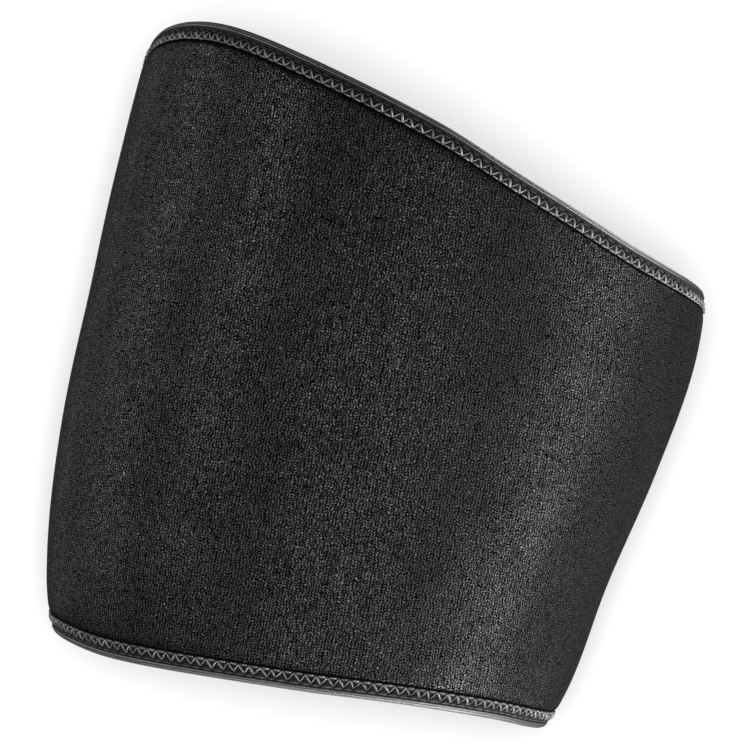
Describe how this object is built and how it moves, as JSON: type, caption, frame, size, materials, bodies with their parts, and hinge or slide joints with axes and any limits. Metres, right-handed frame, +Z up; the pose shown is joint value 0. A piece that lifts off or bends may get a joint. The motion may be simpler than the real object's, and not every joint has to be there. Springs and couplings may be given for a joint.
{
  "type": "neoprene thigh support",
  "caption": "Open, tapered neoprene thigh sleeve with a slanted wide opening and a folded stretch tape sewn over the edge of each opening, lying on its back.",
  "frame": {"origin": "middle of the part's footprint, on the surface that it lies on", "axes": "+Z up from the surface through the front of the sleeve, +Y along the sleeve towards its wide, slanted opening, +X across it towards its short side"},
  "size_m": [0.1833, 0.187, 0.1387],
  "materials": {
    "neoprene_fabric": "matt black jersey knit laminated to foam, fine speckled grain",
    "binding_tape": "charcoal ribbed stretch tape",
    "stitch_thread": "grey twisted sewing thread"
  },
  "bodies": {
    "root": {"sleeve": "neoprene_fabric", "upper_binding": "binding_tape", "lower_binding": "binding_tape"}
  },
  "joints": []
}
